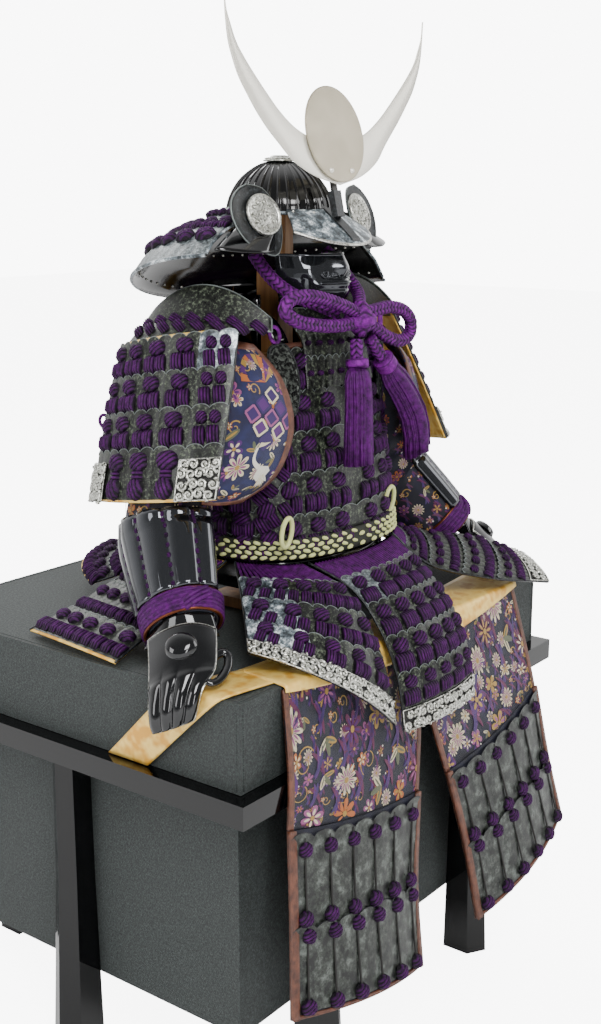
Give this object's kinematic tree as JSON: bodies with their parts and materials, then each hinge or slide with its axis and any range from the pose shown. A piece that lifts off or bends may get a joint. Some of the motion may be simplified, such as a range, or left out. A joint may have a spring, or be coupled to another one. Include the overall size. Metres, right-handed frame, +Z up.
{
  "type": "samurai armour with the chest and post stand it rests on",
  "caption": "Small display samurai armour, seated on its storage chest: horned helmet, mask, laced cuirass, shoulder guards, sleeves, skirt panels and brocade aprons.",
  "frame": {"origin": "middle of the footprint on the floor, under the chest", "axes": "+X towards the figure's left, -Y the way it faces, +Z up"},
  "size_m": [0.4206, 0.386, 0.726],
  "materials": {
    "chest_cloth": "dark grey woven cloth over board",
    "lacquer": "gloss black lacquer",
    "wood": "plain stained wood",
    "grey_plate": "mottled grey-green lacquered plates with silver edges",
    "lacing": "purple silk braid",
    "silver": "engraved silver-coloured metal",
    "champagne": "satin champagne metal",
    "brocade": "navy brocade with woven flowers",
    "gold_cloth": "gold satin brocade",
    "braid": "cream and dark olive flat braid"
  },
  "bodies": {
    "armour": {"chest_body": "chest_cloth", "chest_rail": "lacquer", "chest_lid": "chest_cloth", "leg_front_right": "lacquer", "leg_front_left": "lacquer", "leg_back_right": "lacquer", "leg_back_left": "lacquer", "leg_side_right": "lacquer", "leg_side_left": "lacquer", "post_stand": "wood", "helmet_bowl": "lacquer", "crown_finial": "silver", "visor": "grey_plate", "turnback_right": "grey_plate", "medallion_right": "silver", "turnback_left": "grey_plate", "medallion_left": "silver", "neck_guard": "grey_plate", "crest_socket": "grey_plate", "face_mask": "lacquer", "throat_guard": "grey_plate", "cuirass": "grey_plate", "belt": "braid", "leaf_plate_right": "silver", "leaf_plate_left": "silver", "shoulder_guard_right": "grey_plate", "shoulder_guard_left": "grey_plate", "top_plate_right": "grey_plate", "top_plate_left": "grey_plate", "shoulder_panel_right": "brocade", "shoulder_panel_left": "brocade", "tasset_front": "lacing", "tasset_front_right": "lacing", "tasset_front_left": "lacing", "tasset_side_right": "lacing", "tasset_side_left": "lacing", "tasset_back_right": "lacing", "tasset_back_left": "lacing", "apron_right": "brocade", "apron_left": "brocade", "apron_plates_right": "grey_plate", "apron_plates_left": "grey_plate", "waistband": "gold_cloth", "sleeve_right": "brocade", "sleeve_left": "brocade", "splints_right": "lacquer", "splints_left": "lacquer", "wrist_tie_right": "lacing", "wrist_tie_left": "lacing", "hand_guard_right": "lacquer", "hand_guard_left": "lacquer", "cord_strand_right": "lacing", "cord_strand_left": "lacing", "cord_bow": "lacing", "cord_tail_right": "lacing", "cord_tail_left": "lacing"},
    "crest": {"crest_crescent": "champagne", "crest_disc": "champagne"}
  },
  "joints": [
    {"name": "crest_slide", "type": "slide", "parent": "armour", "child": "crest", "axis": [0, 0.2079, 0.9781], "range_m": [0, 0.012]}
  ]
}
